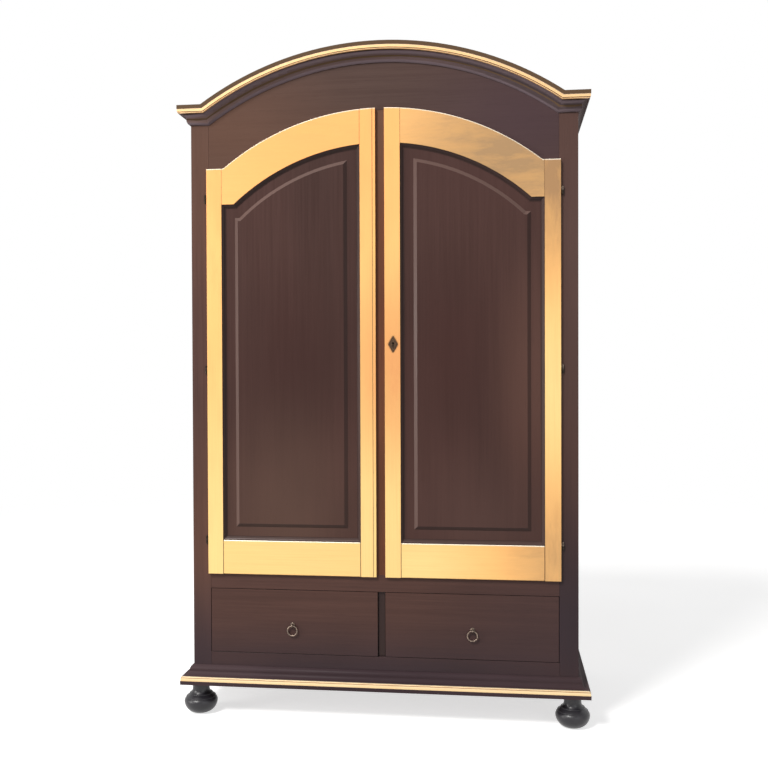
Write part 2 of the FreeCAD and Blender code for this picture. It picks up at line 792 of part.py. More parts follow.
def arch_ended(sign, inner, outer, bottom, radius):
    """A stile whose whole head follows the arch."""
    middle = f"(({inner} + {outer}) / 2)"
    return [
        (f"{sign} * {inner}", bottom),
        (f"{sign} * {outer}", bottom),
        (f"{sign} * {outer}", arch_z(radius, outer)),
        (f"{sign} * {middle}", arch_z(radius, middle), f"{sign} * {inner}", arch_z(radius, inner)),
    ]


def shoulder_curve(sign, radius, shoulder, sweep):
    """The hollow curve of a given radius from a level shoulder up into an arch.

    It touches both, so its own centre is a sweep above the shoulder and a sweep outside the arch.
    """
    rise = f"({shoulder} + {sweep} - {arch_centre})"
    across = f"sqrt(({radius} + {sweep}) ^ 2 - {rise} ^ 2)"
    share = f"({radius} / ({radius} + {sweep}))"
    lean = f"({rise} / ({radius} + {sweep}))"
    middle_x = f"{across} - {sweep} * ({across} / ({radius} + {sweep})) / sqrt(2 + 2 * {lean})"
    middle_z = f"{shoulder} + {sweep} - {sweep} * sqrt((1 + {lean}) / 2)"
    start = (f"{sign} * {across}", shoulder)
    bend = (f"{sign} * ({middle_x})", middle_z,
            f"{sign} * {across} * {share}", f"{arch_centre} + {rise} * {share}")
    return [start, bend], f"({across} * {share})"


def arched_rail(sign, inner, outer, low, high, sweep=""):
    """A rail between two arches, each given as a radius and a shoulder height."""
    low_bend = arch_x(*low)
    low_middle = f"(({low_bend} + {inner}) / 2)"
    if sweep:
        turn, high_bend = shoulder_curve(sign, *high, sweep)
    else:
        high_bend = arch_x(*high)
        turn = [(f"{sign} * {high_bend}", high[1])]
    high_middle = f"(({high_bend} + {inner}) / 2)"
    return [
        (f"{sign} * {inner}", arch_z(low[0], inner)),
        (f"{sign} * {low_middle}", arch_z(low[0], low_middle), f"{sign} * {low_bend}", low[1]),
        (f"{sign} * {outer}", low[1]),
        (f"{sign} * {outer}", high[1]),
        *turn,
        (f"{sign} * {high_middle}", arch_z(high[0], high_middle),
         f"{sign} * {inner}", arch_z(high[0], inner)),
    ]


def door_member(name, front, middle, rear):
    """Lip, groove layer and rear layer of one frame member."""
    member = body(name)
    layer(member, front, lip_front, lip_back)
    layer(member, middle, lip_back, groove_back)
    layer(member, rear, groove_back, door_back)
    return member


def hinge_stile(sign, name):
    front = arched(sign, stile_inner, door_outer, lip_bottom, "", lip_shoulder, square=True)
    middle = arched(sign, f"({stile_inner} + groove_depth)", rear_outer, rear_bottom, "",
                    rear_shoulder, square=True)
    rear = arched(sign, stile_inner, rear_outer, rear_bottom, "", rear_shoulder, square=True)
    blank = door_member(f"{name}_blank", front, middle, rear)
    return cut(name, blank, group(f"{name}_slots", door_slots[sign]))


def closing_stile(sign, name):
    front = arch_ended(sign, door_inner, closing_inner, lip_bottom, lip_radius)
    middle = arch_ended(sign, rear_inner, f"({closing_inner} - groove_depth)", rear_bottom, rear_radius)
    rear = arch_ended(sign, rear_inner, closing_inner, rear_bottom, rear_radius)
    blank = door_member(f"{name}_blank", front, middle, rear)
    if sign < 0:
        line = box("scored_line", (f"-{door_inner} - scored_line_inset - scored_line_width",
                                   f"-{door_inner} - scored_line_inset"),
                   (f"{lip_front} - overrun", f"{lip_front} + scored_line_depth"),
                   (f"{lip_bottom} - overrun", f"{arch_z(lip_radius, '0')} + overrun"))
        return cut(name, blank, line)
    # the way in for a key, a little larger all round than the hole in the plate
    key_x = f"({door_inner} + lock_backset)"
    key_z = f"({lock_height} + keyhole_rise)"
    spare = "(key_bore_radius - keyhole_radius)"
    bore = cylinder("key_bore", "key_bore_radius", f"({door_back}) - ({lip_front}) + 2 * overrun",
                    (key_x, f"{lip_front} - overrun", key_z), "y")
    slot = box("key_slot", (f"{key_x} - keyhole_slot_width / 2 - {spare}",
                            f"{key_x} + keyhole_slot_width / 2 + {spare}"),
               (f"{lip_front} - overrun", f"{door_back} + overrun"),
               (f"{lock_height} - keyhole_drop - {spare}", key_z))
    return cut(name, blank, fuse("key_way", [bore, slot]))


def top_rail(sign, name):
    front = arched_rail(sign, closing_inner, stile_inner,
                        (rail_radius, rail_shoulder), (lip_radius, lip_shoulder), "shoulder_sweep")
    middle = arched_rail(sign, f"({closing_inner} - {tenon})", f"({stile_inner} + {tenon})",
                         (f"({rail_radius} + groove_depth)", f"({rail_shoulder} + groove_depth)"),
                         (rear_radius, rear_shoulder))
    rear = arched_rail(sign, closing_inner, stile_inner,
                       (rail_radius, rail_shoulder), (rear_radius, rear_shoulder))
    return door_member(name, front, middle, rear)


def bottom_rail(sign, name):
    front = arched(sign, closing_inner, stile_inner, lip_bottom, "", rail_top, square=True)
    middle = arched(sign, f"({closing_inner} - {tenon})", f"({stile_inner} + {tenon})", rear_bottom,
                    "", f"({rail_top} - groove_depth)", square=True)
    rear = arched(sign, closing_inner, stile_inner, rear_bottom, "", rail_top, square=True)
    return door_member(name, front, middle, rear)


def inset_opening(sign, inset):
    """The panel opening's outline, moved inwards all round."""
    return arched(sign, f"({closing_inner} + ({inset}))", f"({stile_inner} - ({inset}))",
                  f"({rail_top} + ({inset}))", f"({rail_radius} - ({inset}))",
                  f"({rail_shoulder} - ({inset}))")


def door_panel(sign, name):
    """A panel held in the frame's groove, with a raised field inside a flat border."""
    panel = body(name)
    tongue = "-(groove_depth - 2 * groove_clearance)"
    layer(panel, inset_opening(sign, tongue), f"{lip_back} + groove_clearance",
          f"{groove_back} - groove_clearance")
    doc.recompute()
    border_plane = f"-({lip_back} + groove_clearance)"
    foot_sketch = sketch(panel, "XZ_Plane", inset_opening(sign, "panel_border"), border_plane)
    head_sketch = sketch(panel, "XZ_Plane", inset_opening(sign, "panel_border + panel_bevel"),
                         f"{border_plane} + panel_raise")
    field = panel.newObject("PartDesign::AdditiveLoft", f"{name}_field")
    field.Profile = foot_sketch
    field.Sections = [head_sketch]
    field.Ruled = True
    return panel


for side, sign in (("left", -1), ("right", 1)):
    keep(hinge_stile(sign, f"{side}_door_hinge_stile"), f"{side}_door_hinge_stile")
    keep(closing_stile(sign, f"{side}_door_closing_stile"), f"{side}_door_closing_stile")
    keep(top_rail(sign, f"{side}_door_top_rail"), f"{side}_door_top_rail")
    keep(bottom_rail(sign, f"{side}_door_bottom_rail"), f"{side}_door_bottom_rail")
    keep(door_panel(sign, f"{side}_door_panel"), f"{side}_door_panel")
    keep(group(f"{side}_door_hinge_leaves", door_leaves[sign]), f"{side}_door_hinge_leaves")

# Lock on the right door: a case behind the closing stile, a sliding bolt and a keyhole plate
lock_blank = box("lock_case_blank", (bolt_rest, f"{bolt_rest} + lock_case_width"),
                 (door_back, f"{door_back} + lock_case_thickness"),
                 (f"{lock_height} - lock_case_height / 2", f"{lock_height} + lock_case_height / 2"))
bolt_channel = box("bolt_channel",
                   (f"{bolt_rest} - overrun", f"{bolt_rest} + bolt_length + bolt_clearance"),
                   *bolt_space("bolt_clearance"))
keep(cut("lock_case", lock_blank, bolt_channel), "lock_case")
keep(box("lock_bolt", (bolt_rest, f"{bolt_rest} + bolt_length"),
         (bolt_low_y, f"{bolt_low_y} + bolt_thickness"),
         (f"{lock_height} - bolt_height / 2", f"{lock_height} + bolt_height / 2")), "lock_bolt")

plate = body("escutcheon")
pad(plate, "XZ_Plane", [
    ("-escutcheon_half_width", "0"),
    ("0", "-escutcheon_half_height"),
    ("escutcheon_half_width", "0"),
    ("0", "escutcheon_half_height"),
], "escutcheon_thickness")
neck = "(keyhole_rise - sqrt(keyhole_radius ^ 2 - (keyhole_slot_width / 2) ^ 2))"
pocket(plate, "XZ_Plane", [
    ("-keyhole_slot_width / 2", "-keyhole_drop"),
    ("keyhole_slot_width / 2", "-keyhole_drop"),
    ("keyhole_slot_width / 2", neck),
    ("0", "keyhole_rise + keyhole_radius", "-keyhole_slot_width / 2", neck),
])
plate.setExpression("Placement.Base.x", bound(f"{door_inner} + lock_backset"))
plate.setExpression("Placement.Base.y", bound(lip_front))
plate.setExpression("Placement.Base.z", bound(lock_height))
keep(plate, "escutcheon")

# Drawers: fronts flush with the case, a box behind, and a ring on an eye
front_inner = f"({partition_half} + drawer_inner_gap)"
front_outer = f"({opening_edge} - drawer_gap)"
front_low = f"({drawer_sill} + drawer_gap)"
front_high = f"({drawer_head} - drawer_gap)"
front_back = f"({face} + drawer_front_thickness)"
drawer_rear = f"({back_inside} - drawer_rear_gap)"
drawer_side_low = f"({drawer_sill} + drawer_lift)"
drawer_side_high = f"({front_high} - drawer_side_drop)"
near_side = (f"{front_inner} + drawer_side_inset",
             f"{front_inner} + drawer_side_inset + drawer_side_thickness")
far_side = (f"{front_outer} - drawer_side_inset - drawer_side_thickness",
            f"{front_outer} - drawer_side_inset")
bottom_low = f"({drawer_sill} + drawer_bottom_rise)"
bottom_high = f"({bottom_low} + drawer_bottom_thickness)"
groove_z = (f"{bottom_low} - drawer_groove_clearance", f"{bottom_high} + drawer_groove_clearance")
tongue_depth = "(drawer_groove_depth - drawer_groove_clearance)"
pull_x = f"(({front_inner} + {front_outer}) / 2 + pull_offset)"
pull_z = f"(({front_low} + {front_high}) / 2 - pull_drop)"
ring_axis_z = f"({pull_z} - eye_drop)"
eye_y = f"({face} - eye_standoff)"
eye_radius = "(ring_wire_radius + eye_clearance + eye_wire_radius)"


def torus(name, radius, wire, centre, axis):
    """A ring of round wire about a centre, with its hole along an axis."""
    ring = doc.addObject("Part::Torus", name)
    ring.setExpression("Radius1", bound(radius))
    ring.setExpression("Radius2", bound(wire))
    turns = {
        "x": FreeCAD.Rotation(FreeCAD.Vector(0, 1, 0), 90),
        "y": FreeCAD.Rotation(FreeCAD.Vector(1, 0, 0), -90),
    }
    ring.Placement = FreeCAD.Placement(FreeCAD.Vector(), turns[axis])
    for letter, place in zip("xyz", centre):
        ring.setExpression(f"Placement.Base.{letter}", bound(place))
    return ring


for side, sign in (("left", -1), ("right", 1)):
    name = f"{side}_drawer"
    blank = box(f"{name}_front_blank", mirrored(sign, front_inner, front_outer),
                (face, front_back), (front_low, front_high))
    groove = box(f"{name}_front_groove",
                 mirrored(sign, f"{near_side[1]} - drawer_groove_depth",
                          f"{far_side[0]} + drawer_groove_depth"),
                 (f"{front_back} - drawer_groove_depth", f"{front_back} + overrun"), groove_z)
    stem_hole = cylinder(f"{name}_stem_hole", "stem_radius + stem_clearance",
                         "stem_length + stem_clearance + overrun",
                         (f"{sign} * {pull_x}", f"{face} - overrun", pull_z), "y")
    keep(cut(f"{name}_front", blank, group(f"{name}_front_cuts", [groove, stem_hole])), f"{name}_front")

    walls = []
    for wall, span, reach in (("near", near_side, "- drawer_groove_depth"), ("far", far_side, "")):
        board = box(f"{name}_{wall}_blank", mirrored(sign, *span), (front_back, drawer_rear),
                    (drawer_side_low, drawer_side_high))
        if wall == "near":
            slot = (f"{span[1]} - drawer_groove_depth", f"{span[1]} + overrun")
        else:
            slot = (f"{span[0]} - overrun", f"{span[0]} + drawer_groove_depth")
        slit = box(f"{name}_{wall}_groove", mirrored(sign, *slot),
                   (f"{front_back} - overrun", f"{drawer_rear} + overrun"), groove_z)
        walls.append(cut(f"{name}_{wall}_side", board, slit))
    walls.append(box(f"{name}_rear", mirrored(sign, near_side[1], far_side[0]),
                     (f"{drawer_rear} - drawer_back_inset - drawer_side_thickness",
                      f"{drawer_rear} - drawer_back_inset"),
                     (groove_z[1], f"{drawer_side_high} - drawer_back_drop")))
    keep(group(f"{name}_box", walls), f"{name}_box")
    keep(box(f"{name}_bottom",
             mirrored(sign, f"{near_side[1]} - {tongue_depth}", f"{far_side[0]} + {tongue_depth}"),
             (f"{front_back} - {tongue_depth}", drawer_rear), (bottom_low, bottom_high)), f"{name}_bottom")

    pull_place = f"{sign} * {pull_x}"
    eye = torus(f"{side}_eye_loop", eye_radius, "eye_wire_radius", (pull_place, eye_y, ring_axis_z), "x")
    # the stem starts inside the wire of the loop, which hangs a little below it
    stem_start = f"({eye_y} + sqrt({eye_radius} ^ 2 - eye_drop ^ 2))"
    neck_bar = cylinder(f"{side}_eye_stem", "stem_radius", f"{face} + stem_length - {stem_start}",
                        (pull_place, stem_start, pull_z), "y")
    rose_front = f"({face} - rose_thickness)"
    rose = cylinder(f"{side}_eye_rose", "rose_radius", "rose_thickness",
                    (pull_place, rose_front, pull_z), "y")
    rim = torus(f"{side}_eye_rim", "rose_radius - rose_rim_radius", "rose_rim_radius",
                (pull_place, rose_front, pull_z), "y")
    keep(fuse(f"{side}_pull_eye", [eye, neck_bar, rose, rim]), f"{side}_pull_eye")
    keep(torus(f"{side}_pull_ring", "ring_radius", "ring_wire_radius",
               (pull_place, eye_y, f"{ring_axis_z} - ring_radius"), "y"), f"{side}_pull_ring")

# Runners under the drawers, the outer ones with a guide beside the drawer
runners = []
runner_z = (f"{drawer_sill} - runner_height", drawer_sill)
for side, sign in (("left", -1), ("right", 1)):
    guide_face = f"({far_side[1]} + guide_clearance)"
    shelf = box(f"{side}_runner_shelf", mirrored(sign, f"{guide_face} - runner_shelf", side_inside),
                inside_depth, runner_z)
    guide = box(f"{side}_runner_guide", mirrored(sign, guide_face, side_inside), inside_depth,
                (drawer_sill, f"{drawer_sill} + guide_height"))
    runners.append(fuse(f"{side}_outer_runner", [shelf, guide]))
    runners.append(box(f"{side}_inner_runner",
                       mirrored(sign, partition_half, f"{partition_half} + runner_inner_width"),
                       inside_depth, runner_z))
keep(group("drawer_runners", runners), "drawer_runners")

# Shelves in the left bay, a hat shelf and hanging rail in the right, all on battens

# how far up the bay each shelf's top lies
LOWER_SHARE = 0.302
UPPER_SHARE = 0.6
HAT_SHARE = 0.87


def bay_height(share):
    return f"({deck_top} + ({roof_under} - {deck_top}) * {share})"


bay = (f"{partition_half} + shelf_end_gap", f"{side_inside} - shelf_end_gap")
shelf_depth = (f"{behind_face} + shelf_front_setback", f"{back_inside} - shelf_back_gap")
battens = []
for name, sign, share in (("shelf_lower", -1, LOWER_SHARE), ("shelf_upper", -1, UPPER_SHARE),
                          ("hat_shelf", 1, HAT_SHARE)):
    top = bay_height(share)
    under = f"({top} - shelf_thickness)"
    keep(box(name, mirrored(sign, *bay), shelf_depth, (under, top)), name)
    batten_depth = (f"{behind_face} + batten_setback", f"{back_inside} - shelf_back_gap")
    batten_z = (f"{under} - batten_size", under)
    for wall, span in (("partition", (partition_half, f"{partition_half} + batten_size")),
                       ("side", (f"{side_inside} - batten_size", side_inside))):
        battens.append(box(f"{name}_{wall}_batten", mirrored(sign, *span), batten_depth, batten_z))
keep(group("shelf_battens", battens), "shelf_battens")

rail_y = f"(({behind_face} + {back_inside}) / 2)"
rail_z = f"({bay_height(HAT_SHARE)} - rail_drop)"
rail_low = f"({partition_half} + socket_floor + rail_end_gap)"
rail_high = f"({side_inside} - socket_floor - rail_end_gap)"
keep(cylinder("hanging_rail", "rail_radius", f"({rail_high}) - ({rail_low})",
              (rail_low, rail_y, rail_z), "x"), "hanging_rail")
sockets = []
for wall, start, bore_start in (
        ("partition", partition_half, f"{partition_half} + socket_floor"),
        ("side", f"{side_inside} - socket_length", f"{side_inside} - socket_length - overrun")):
    cup = cylinder(f"{wall}_cup", "rail_radius + socket_clearance + socket_wall", "socket_length",
                   (start, rail_y, rail_z), "x")
    bore = cylinder(f"{wall}_cup_bore", "rail_radius + socket_clearance",
                    "socket_length - socket_floor + overrun", (bore_start, rail_y, rail_z), "x")
    sockets.append(cut(f"{wall}_socket", cup, bore))
keep(group("rail_sockets", sockets), "rail_sockets")

# Recompute, look for faults and write each piece
doc.recompute()
for item in doc.Objects:
    if {"Invalid", "Error"} & set(item.State):
        raise RuntimeError(f"{item.Label} failed: {item.State}")
os.makedirs("parts", exist_ok=True)
for piece in parts:
    if piece.Shape.isNull() or not piece.Shape.isValid():
        raise RuntimeError(f"{piece.Label} has no valid shape")
    piece.Shape.exportStep(f"parts/{piece.Label}.step")
print(len(parts), "parts")
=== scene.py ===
import bmesh
import bpy
import math
from mathutils import Matrix, Vector


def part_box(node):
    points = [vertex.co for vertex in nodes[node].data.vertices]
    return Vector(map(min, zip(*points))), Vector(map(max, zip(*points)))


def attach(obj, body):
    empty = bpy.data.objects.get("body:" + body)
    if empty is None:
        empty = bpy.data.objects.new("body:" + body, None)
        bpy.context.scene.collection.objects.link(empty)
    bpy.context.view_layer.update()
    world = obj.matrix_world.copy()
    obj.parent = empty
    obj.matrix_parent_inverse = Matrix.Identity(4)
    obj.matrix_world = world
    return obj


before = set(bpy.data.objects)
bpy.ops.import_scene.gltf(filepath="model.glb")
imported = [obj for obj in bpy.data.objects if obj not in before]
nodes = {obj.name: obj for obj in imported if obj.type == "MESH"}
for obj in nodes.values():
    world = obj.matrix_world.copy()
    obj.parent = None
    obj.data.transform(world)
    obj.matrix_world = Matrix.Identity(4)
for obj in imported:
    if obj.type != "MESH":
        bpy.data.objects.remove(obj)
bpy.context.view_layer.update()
scene = bpy.context.scene


def lin(red, green, blue):
    """A screen colour from 0 to 255, as the linear colour that a node takes."""
    def one(value):
        value /= 255
        return value / 12.92 if value <= 0.04045 else ((value + 0.055) / 1.055) ** 2.4
    return (one(red), one(green), one(blue), 1.0)


# Directions
LEFTWARD = (-1, 0, 0)
RIGHTWARD = (1, 0, 0)
FORWARD = (0, -1, 0)
DOWNWARD = (0, 0, -1)
UPWARD = (0, 0, 1)
# Up and to the left, the way the key light falls, and the opposite way: for painted highlight and shade
UP_LEFT = (-0.3, 0, 0.95)
DOWN_RIGHT = (0.6, 0, -0.8)

# Where spots of colour are centred: the y of four upright planes, and the x of two stiles
POST_PLANE = -0.25
CASE_PLANE = -0.26
DOOR_PLANE = -0.27
MOULDING_PLANE = -0.28
CASE_STILE = 0.57
HINGE_STILE = 0.525

# Colours of the woods
stain_dark = lin(70, 47, 41)
stain_light = lin(86, 60, 53)
panel_dark = lin(63, 40, 35)
panel_light = lin(74, 49, 44)
frieze_dark = lin(74, 56, 51)
frieze_light = lin(85, 66, 60)
moulding_dark = lin(98, 78, 76)
moulding_light = lin(110, 90, 88)
# Painted shade, low on the base moulding
moulding_painted_low_shade = lin(60, 47, 51)
inside_dark = lin(122, 84, 54)
inside_light = lin(168, 126, 86)
# Tones for spots, partly the stain's own and partly painted reflection and shade
warm = lin(116, 80, 64)
cool = lin(72, 54, 59)
# Painted shade, darker towards the bottom
painted_low_shade = lin(46, 36, 42)
# Painted highlight on faces turned up and left
painted_edge_light = lin(140, 116, 108)
# Nearly black, as linear values
pore_dark = (0.006, 0.003, 0.002, 1)
# Painted shade on faces turned down and right
painted_edge_shade = (0.01, 0.006, 0.005, 1)
# Dirt and painted shade in grooves and corners
grime_and_shade_dark = (0.008, 0.004, 0.003, 1)

# Colours of the gilding
gold = lin(255, 194, 118)
# Painted highlight on the gilding's upper edges
painted_gold_highlight = lin(255, 246, 226)
# Painted reflection on the gilding
gold_pale = lin(255, 218, 144)
gold_deep = lin(250, 168, 96)
gold_dull = lin(236, 170, 98)
gold_brown = lin(169, 134, 94)
bole = lin(150, 96, 50)
joint_dark = lin(104, 64, 28)
# Dirt and painted shade in the gilding's grooves and corners
gilt_grime_and_shade = lin(84, 50, 22)

# How far from a groove or a corner its dirt and painted shade reach, and from an edge its painted highlight
EDGE_REACH = 0.006


class Shader:
    """A material's node tree, with short ways to add to it."""

    def __init__(self, name):
        self.material = bpy.data.materials.new(name)
        self.material.use_nodes = True
        self.tree = self.material.node_tree
        self.tree.nodes.clear()
        self.output = self.node("ShaderNodeOutputMaterial")
        self.surface = self.node("ShaderNodeBsdfPrincipled")
        self.link(self.surface.outputs["BSDF"], self.output.inputs["Surface"])
        where = self.node("ShaderNodeTexCoord").outputs
        self.place = where["Object"]
        self.facing = where["Normal"]

    def node(self, kind, **settings):
        made = self.tree.nodes.new(kind)
        for key, value in settings.items():
            setattr(made, key, value)
        return made

    def link(self, start, end):
        self.tree.links.new(start, end)

    def put(self, socket, value):
        """Link a socket, or set a plain value on it."""
        if isinstance(value, bpy.types.NodeSocket):
            self.link(value, socket)
        else:
            socket.default_value = value

    def mapped(self, scale, move, kind="POINT"):
        """The object's own coordinates, scaled and moved. The kind TEXTURE does both backwards."""
        made = self.node("ShaderNodeMapping", vector_type=kind)
        self.link(self.place, made.inputs["Vector"])
        made.inputs["Scale"].default_value = scale
        made.inputs["Location"].default_value = move
        return made.outputs["Vector"]

    def noise(self, scale, move=(0, 0, 0), detail=3.0, rough=0.5, bend=0.0):
        """Noise that has its own scale along each axis of the object."""
        made = self.node("ShaderNodeTexNoise")
        self.link(self.mapped(scale, move), made.inputs["Vector"])
        for key, value in (("Scale", 1.0), ("Detail", detail), ("Roughness", rough), ("Distortion", bend)):
            made.inputs[key].default_value = value
        return made.outputs["Fac"]

    def span(self, value, low, high, to_low=0.0, to_high=1.0):
        """A value carried smoothly from one range to another."""
        made = self.node("ShaderNodeMapRange", interpolation_type="SMOOTHSTEP")
        self.put(made.inputs["Value"], value)
        for key, number in (("From Min", low), ("From Max", high), ("To Min", to_low), ("To Max", to_high)):
            made.inputs[key].default_value = number
        return made.outputs["Result"]

    def calc(self, how, first, second):
        made = self.node("ShaderNodeMath", operation=how)
        self.put(made.inputs[0], first)
        self.put(made.inputs[1], second)
        return made.outputs[0]

    def plus(self, first, second):
        return self.calc("ADD", first, second)

    def times(self, first, second):
        return self.calc("MULTIPLY", first, second)

    def mix(self, share, first, second):
        """The first colour where the share is 0, the second where it is 1."""
        made = self.node("ShaderNodeMix", data_type="RGBA")
        self.put(made.inputs["Factor"], share)
        self.put(made.inputs["A"], first)
        self.put(made.inputs["B"], second)
        return made.outputs["Result"]

    def dimmed(self, colour, factor):
        made = self.node("ShaderNodeVectorMath", operation="SCALE")
        self.link(colour, made.inputs[0])
        self.link(factor, made.inputs["Scale"])
        return made.outputs[0]

    def near(self, point, reach):
        """1 at a point of the object, falling to 0 at each reach from it."""
        length = self.node("ShaderNodeVectorMath", operation="LENGTH")
        self.link(self.mapped(reach, point, "TEXTURE"), length.inputs[0])
        return self.span(length.outputs["Value"], 1.0, 0.0)

    def hollow(self, low, high):
        """1 in a groove or corner, 0 in the open, for dirt and painted shade: high and low are how open a
        place is.
        """
        made = self.node("ShaderNodeAmbientOcclusion", samples=8)
        made.inputs["Distance"].default_value = EDGE_REACH
        return self.span(made.outputs["AO"], high, low)

    def arris(self):
        """The object's normal, rounded over at each edge."""
        made = self.node("ShaderNodeBevel", samples=6)
        made.inputs["Radius"].default_value = EDGE_REACH
        turn = self.node("ShaderNodeVectorTransform", vector_type="NORMAL", convert_from="WORLD",
                         convert_to="OBJECT")
        self.link(made.outputs[0], turn.inputs[0])
        return turn.outputs[0]

    def turned(self, way, low, high, normal=None):
        """0 to 1 as the cosine between a normal and a direction passes from low to high."""
        made = self.node("ShaderNodeVectorMath", operation="DOT_PRODUCT")
        self.link(normal or self.facing, made.inputs[0])
        made.inputs[1].default_value = way
        return self.span(made.outputs["Value"], low, high)

    def tint(self, colour, spots, ragged=1.0):
        """A colour with soft spots of others, each a point, its reach, an amount and a colour."""
        for point, reach, amount, other in spots:
            share = self.times(self.near(point, reach), ragged)
            colour = self.mix(self.times(share, amount), colour, other)
        return colour

    def bump(self, height, strength, distance):
        made = self.node("ShaderNodeBump")
        self.link(height, made.inputs["Height"])
        made.inputs["Strength"].default_value = strength
        made.inputs["Distance"].default_value = distance
        self.link(made.outputs["Normal"], self.surface.inputs["Normal"])

    def set(self, **values):
        """Set or link sockets of the surface, and give the material back."""
        for key, value in values.items():
            self.put(self.surface.inputs[key.replace("_", " ")], value)
        return self.material


def along(axis, length, width):
    """The scales that stretch a pattern along one axis."""
    scale = [width, width, width]
    scale["xyz".index(axis)] = length
    return tuple(scale)


def wood(name, axis, dark, light, rough=0.42, specular=0.17, shift=0.0, grime_and_shade=0.0, border_light_and_shade=0.0,
         spots=(), faces=()):
    """Stained wood: grain along an axis, pores, cloudy stain, rubbed places and a satin coat.

    The shift moves the pattern, so that pieces differ. The border weight sets how clearly the edges of
    raised parts show, with a painted highlight on faces turned up and left and a painted shade on faces
    turned down and right. The hollow weight darkens grooves and corners, partly as dirt and partly as
    painted shade. Spots are soft patches of tone, partly the stain's own and partly painted reflection and
    shade.
    Each entry of faces is a direction, the range that counts as turned towards it, and the two
    colours of the grain on faces that are.
    """
    look = Shader(name)
    figure = look.noise(along(axis, 1.3, 26.0), (shift, shift, shift), 6.0, 0.62, 0.35)
    streak = look.noise(along(axis, 3.0, 190.0), (shift, 0, shift), 4.0, 0.6)
    pores = look.span(look.noise(along(axis, 22.0, 900.0), detail=2.0), 0.60, 0.72)
    cloud = look.noise((2.6, 2.6, 1.7), (shift, 3.0, shift), 2.0)
    rubbed = look.span(look.noise(along(axis, 7.0, 60.0), (5, 1, shift), 5.0, 0.7), 0.66, 0.78)
    grain = look.plus(look.span(figure, 0.28, 0.74, 0.0, 0.5), look.span(streak, 0.25, 0.8, 0.0, 0.5))
    # Spots of tone: partly the stain's own, partly painted reflection and shade
    colour = look.tint(look.mix(grain, dark, light), spots)
    colour = look.dimmed(colour, look.span(cloud, 0.3, 0.7, 0.90, 1.10))
    colour = look.mix(look.times(pores, 0.18), colour, pore_dark)
    colour = look.mix(look.times(rubbed, 0.18), colour, light)
    for way, low, high, face_dark, face_light in faces:
        colour = look.mix(look.turned(way, low, high), colour, look.mix(grain, face_dark, face_light))
    # Painted highlight on faces turned up and left, painted shade on faces turned down and right
    if border_light_and_shade:
        colour = look.mix(look.times(look.turned(UP_LEFT, 0.03, 0.2), border_light_and_shade), colour, painted_edge_light)
        colour = look.mix(look.times(look.turned(DOWN_RIGHT, 0.1, 0.4), border_light_and_shade), colour, painted_edge_shade)
    # Dirt and painted shade in grooves and corners
    if grime_and_shade:
        colour = look.mix(look.times(look.hollow(0.55, 0.85), grime_and_shade), colour, grime_and_shade_dark)
    look.bump(look.calc("SUBTRACT", look.times(streak, 0.5), look.times(pores, 0.8)), 0.14, 0.0005)
    roughness = look.plus(look.span(streak, 0.2, 0.8, rough - 0.07, rough + 0.10), look.times(rubbed, 0.08))
    return look.set(Base_Color=colour, Roughness=roughness, Specular_IOR_Level=specular,
                    Coat_Weight=0.03, Coat_Roughness=0.3, Sheen_Weight=0.02, Sheen_Roughness=0.4)


def gilding(name, axis, bright, mottle=0.3, shift=0.0, grime_and_shade=0.95, joints=0.8, painted_edge_highlight=1.0,
            glow=(), spots=()):
    """Metal leaf over wood: brushed along an axis, mottled, with the ground showing in flakes.

    The shift moves the pattern. The edge weight sets how strongly upper edges are paled, a painted
    highlight, and joints how strongly the ends of a piece along x are darkened. Glow is a painted
    reflection of pale gold, laid under the brushing; spots go over it. The hollow weight darkens
    grooves and corners, partly as dirt and partly as painted shade.
    """
    look = Shader(name)
    brushed = look.noise(along(axis, 4.0, 240.0), (shift, shift, 0), 4.0, 0.6)
    blotch = look.noise(along(axis, 9.0, 34.0), (shift, 0, shift), 5.0, 0.6, 0.25)
    flakes = look.span(look.noise((70, 70, 70), rough=0.6), 0.68, 0.80)
    edge = look.arris()
    colour = look.mix(look.times(look.span(blotch, 0.42, 0.72), mottle), bright, gold_dull)
    # Glow: painted reflection in patches of pale gold
    colour = look.tint(colour, glow)
    colour = look.mix(look.span(brushed, 0.35, 0.8, 0.0, 0.22), colour, gold_dull)
    colour = look.tint(colour, spots, look.span(blotch, 0.25, 0.75, 0.75, 1.2))
    colour = look.mix(look.times(flakes, 0.15), colour, bole)
    # Painted highlight: upper edges paled towards white
    colour = look.mix(look.times(look.turned(UPWARD, 0.1, 0.34, edge), painted_edge_highlight), colour, painted_gold_highlight)
    if axis == "x":
        for way in (RIGHTWARD, LEFTWARD):
            colour = look.mix(look.times(look.turned(way, 0.38, 0.56, edge), joints), colour, joint_dark)
    # Dirt and painted shade in grooves and corners
    colour = look.mix(look.times(look.hollow(0.80, 0.985), grime_and_shade), colour, gilt_grime_and_shade)
    look.bump(look.plus(brushed, look.times(blotch, 0.6)), 0.12, 0.0006)
    return look.set(Base_Color=colour, Metallic=0.4, Roughness=look.span(blotch, 0.3, 0.7, 0.36, 0.5),
                    Specular_IOR_Level=0.4, Coat_Weight=0.1, Coat_Roughness=0.25, Sheen_Weight=0.02)


def metal(name, colour, tarnish, rough, fine=180.0):
    """Cast or forged metal with tarnish in patches and fine pitting."""
    look = Shader(name)
    stain = look.noise((fine, fine, fine), detail=4.0, rough=0.6, bend=0.4)
    pits = look.noise((fine * 7, fine * 7, fine * 7), detail=2.0)
    look.bump(look.plus(stain, look.times(pits, 0.5)), 0.15, 0.0004)
    return look.set(Base_Color=look.mix(look.span(stain, 0.35, 0.65), colour, tarnish), Metallic=0.9,
                    Roughness=look.span(stain, 0.3, 0.7, rough, rough + 0.2), Specular_IOR_Level=0.5,
                    Coat_Weight=0.05)


